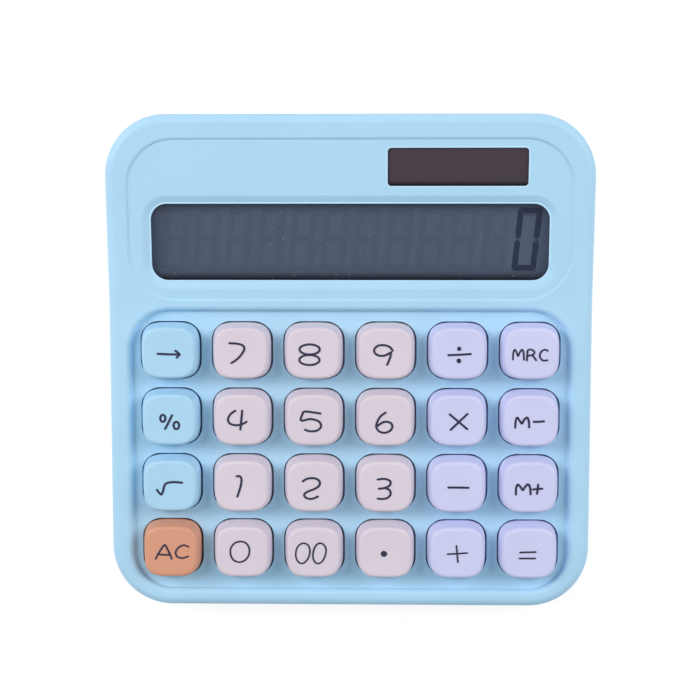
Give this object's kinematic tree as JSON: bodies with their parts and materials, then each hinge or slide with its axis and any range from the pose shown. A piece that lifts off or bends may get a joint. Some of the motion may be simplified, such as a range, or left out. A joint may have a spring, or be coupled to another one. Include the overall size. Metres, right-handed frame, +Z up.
{
  "type": "desk calculator",
  "caption": "Pastel desk calculator with a sloped two-piece case, sprung rounded keys over a dome sheet, a display behind a window, a light cell and a sliding cell door.",
  "frame": {"origin": "on the desk, under the middle of the case", "axes": "+X to the right of the person using it, +Y to the back, +Z up; the front edge is at -Y"},
  "size_m": [0.15, 0.152, 0.0371],
  "materials": {
    "shell_blue": "satin",
    "base_blue": "satin",
    "window_slate": "gloss",
    "window_brown": "gloss",
    "cell_black": "gloss",
    "display_glass": "gloss",
    "frame_white": "satin",
    "ribbon_brown": "satin",
    "screw_steel": "satin",
    "board_brown": "satin",
    "resin_black": "gloss",
    "sleeve_black": "gloss",
    "dome_white": "satin",
    "key_blue": "satin",
    "key_pink": "satin",
    "key_lilac": "satin",
    "key_orange": "satin",
    "cell_silver": "satin",
    "contact_steel": "satin",
    "lead_black": "satin",
    "lead_red": "satin",
    "foot_rubber": "matte"
  },
  "bodies": {
    "case": {"front_case": "shell_blue", "rear_case": "base_blue", "display_window": "window_slate", "solar_window": "window_brown", "solar_cell": "cell_black", "lcd_panel": "display_glass", "lcd_frame": "frame_white", "lcd_ribbon": "ribbon_brown", "lcd_screws": "screw_steel", "main_board": "board_brown", "chip_blob": "resin_black", "capacitor": "sleeve_black", "key_mat": "dome_white", "battery_cell": "cell_silver", "contact_minus": "contact_steel", "contact_plus": "contact_steel", "cell_lead_minus": "lead_black", "cell_lead_plus": "lead_red", "solar_lead_minus": "lead_black", "solar_lead_plus": "lead_red", "case_screws": "screw_steel", "board_screws": "screw_steel", "foot_front_left": "foot_rubber", "foot_front_right": "foot_rubber", "foot_back_left": "foot_rubber", "foot_back_right": "foot_rubber"},
    "door": {"battery_door": "base_blue"},
    "key_arrow_cap": {"key_arrow": "key_blue"},
    "key_7_cap": {"key_7": "key_pink"},
    "key_8_cap": {"key_8": "key_pink"},
    "key_9_cap": {"key_9": "key_pink"},
    "key_divide_cap": {"key_divide": "key_lilac"},
    "key_recall_cap": {"key_recall": "key_lilac"},
    "key_percent_cap": {"key_percent": "key_blue"},
    "key_4_cap": {"key_4": "key_pink"},
    "key_5_cap": {"key_5": "key_pink"},
    "key_6_cap": {"key_6": "key_pink"},
    "key_times_cap": {"key_times": "key_lilac"},
    "key_memory_minus_cap": {"key_memory_minus": "key_lilac"},
    "key_root_cap": {"key_root": "key_blue"},
    "key_1_cap": {"key_1": "key_pink"},
    "key_2_cap": {"key_2": "key_pink"},
    "key_3_cap": {"key_3": "key_pink"},
    "key_minus_cap": {"key_minus": "key_lilac"},
    "key_memory_plus_cap": {"key_memory_plus": "key_lilac"},
    "key_clear_cap": {"key_clear": "key_orange"},
    "key_0_cap": {"key_0": "key_pink"},
    "key_00_cap": {"key_00": "key_pink"},
    "key_point_cap": {"key_point": "key_pink"},
    "key_plus_cap": {"key_plus": "key_lilac"},
    "key_equals_cap": {"key_equals": "key_lilac"}
  },
  "joints": [
    {"name": "door_slide", "type": "slide", "parent": "case", "child": "door", "axis": [0, 1, 0], "range_m": [0, 0.028]},
    {"name": "press_arrow", "type": "slide", "parent": "case", "child": "key_arrow_cap", "axis": [0, 0.1045, -0.9945], "range_m": [0, 0.0025], "stiffness_N_per_m": 160, "springref_m": -0.0015, "deforming": ["key_mat"]},
    {"name": "press_7", "type": "slide", "parent": "case", "child": "key_7_cap", "axis": [0, 0.1045, -0.9945], "range_m": [0, 0.0025], "stiffness_N_per_m": 160, "springref_m": -0.0015, "deforming": ["key_mat"]},
    {"name": "press_8", "type": "slide", "parent": "case", "child": "key_8_cap", "axis": [0, 0.1045, -0.9945], "range_m": [0, 0.0025], "stiffness_N_per_m": 160, "springref_m": -0.0015, "deforming": ["key_mat"]},
    {"name": "press_9", "type": "slide", "parent": "case", "child": "key_9_cap", "axis": [0, 0.1045, -0.9945], "range_m": [0, 0.0025], "stiffness_N_per_m": 160, "springref_m": -0.0015, "deforming": ["key_mat"]},
    {"name": "press_divide", "type": "slide", "parent": "case", "child": "key_divide_cap", "axis": [0, 0.1045, -0.9945], "range_m": [0, 0.0025], "stiffness_N_per_m": 160, "springref_m": -0.0015, "deforming": ["key_mat"]},
    {"name": "press_recall", "type": "slide", "parent": "case", "child": "key_recall_cap", "axis": [0, 0.1045, -0.9945], "range_m": [0, 0.0025], "stiffness_N_per_m": 160, "springref_m": -0.0015, "deforming": ["key_mat"]},
    {"name": "press_percent", "type": "slide", "parent": "case", "child": "key_percent_cap", "axis": [0, 0.1045, -0.9945], "range_m": [0, 0.0025], "stiffness_N_per_m": 160, "springref_m": -0.0015, "deforming": ["key_mat"]},
    {"name": "press_4", "type": "slide", "parent": "case", "child": "key_4_cap", "axis": [0, 0.1045, -0.9945], "range_m": [0, 0.0025], "stiffness_N_per_m": 160, "springref_m": -0.0015, "deforming": ["key_mat"]},
    {"name": "press_5", "type": "slide", "parent": "case", "child": "key_5_cap", "axis": [0, 0.1045, -0.9945], "range_m": [0, 0.0025], "stiffness_N_per_m": 160, "springref_m": -0.0015, "deforming": ["key_mat"]},
    {"name": "press_6", "type": "slide", "parent": "case", "child": "key_6_cap", "axis": [0, 0.1045, -0.9945], "range_m": [0, 0.0025], "stiffness_N_per_m": 160, "springref_m": -0.0015, "deforming": ["key_mat"]},
    {"name": "press_times", "type": "slide", "parent": "case", "child": "key_times_cap", "axis": [0, 0.1045, -0.9945], "range_m": [0, 0.0025], "stiffness_N_per_m": 160, "springref_m": -0.0015, "deforming": ["key_mat"]},
    {"name": "press_memory_minus", "type": "slide", "parent": "case", "child": "key_memory_minus_cap", "axis": [0, 0.1045, -0.9945], "range_m": [0, 0.0025], "stiffness_N_per_m": 160, "springref_m": -0.0015, "deforming": ["key_mat"]},
    {"name": "press_root", "type": "slide", "parent": "case", "child": "key_root_cap", "axis": [0, 0.1045, -0.9945], "range_m": [0, 0.0025], "stiffness_N_per_m": 160, "springref_m": -0.0015, "deforming": ["key_mat"]},
    {"name": "press_1", "type": "slide", "parent": "case", "child": "key_1_cap", "axis": [0, 0.1045, -0.9945], "range_m": [0, 0.0025], "stiffness_N_per_m": 160, "springref_m": -0.0015, "deforming": ["key_mat"]},
    {"name": "press_2", "type": "slide", "parent": "case", "child": "key_2_cap", "axis": [0, 0.1045, -0.9945], "range_m": [0, 0.0025], "stiffness_N_per_m": 160, "springref_m": -0.0015, "deforming": ["key_mat"]},
    {"name": "press_3", "type": "slide", "parent": "case", "child": "key_3_cap", "axis": [0, 0.1045, -0.9945], "range_m": [0, 0.0025], "stiffness_N_per_m": 160, "springref_m": -0.0015, "deforming": ["key_mat"]},
    {"name": "press_minus", "type": "slide", "parent": "case", "child": "key_minus_cap", "axis": [0, 0.1045, -0.9945], "range_m": [0, 0.0025], "stiffness_N_per_m": 160, "springref_m": -0.0015, "deforming": ["key_mat"]},
    {"name": "press_memory_plus", "type": "slide", "parent": "case", "child": "key_memory_plus_cap", "axis": [0, 0.1045, -0.9945], "range_m": [0, 0.0025], "stiffness_N_per_m": 160, "springref_m": -0.0015, "deforming": ["key_mat"]},
    {"name": "press_clear", "type": "slide", "parent": "case", "child": "key_clear_cap", "axis": [0, 0.1045, -0.9945], "range_m": [0, 0.0025], "stiffness_N_per_m": 160, "springref_m": -0.0015, "deforming": ["key_mat"]},
    {"name": "press_0", "type": "slide", "parent": "case", "child": "key_0_cap", "axis": [0, 0.1045, -0.9945], "range_m": [0, 0.0025], "stiffness_N_per_m": 160, "springref_m": -0.0015, "deforming": ["key_mat"]},
    {"name": "press_00", "type": "slide", "parent": "case", "child": "key_00_cap", "axis": [0, 0.1045, -0.9945], "range_m": [0, 0.0025], "stiffness_N_per_m": 160, "springref_m": -0.0015, "deforming": ["key_mat"]},
    {"name": "press_point", "type": "slide", "parent": "case", "child": "key_point_cap", "axis": [0, 0.1045, -0.9945], "range_m": [0, 0.0025], "stiffness_N_per_m": 160, "springref_m": -0.0015, "deforming": ["key_mat"]},
    {"name": "press_plus", "type": "slide", "parent": "case", "child": "key_plus_cap", "axis": [0, 0.1045, -0.9945], "range_m": [0, 0.0025], "stiffness_N_per_m": 160, "springref_m": -0.0015, "deforming": ["key_mat"]},
    {"name": "press_equals", "type": "slide", "parent": "case", "child": "key_equals_cap", "axis": [0, 0.1045, -0.9945], "range_m": [0, 0.0025], "stiffness_N_per_m": 160, "springref_m": -0.0015, "deforming": ["key_mat"]}
  ]
}
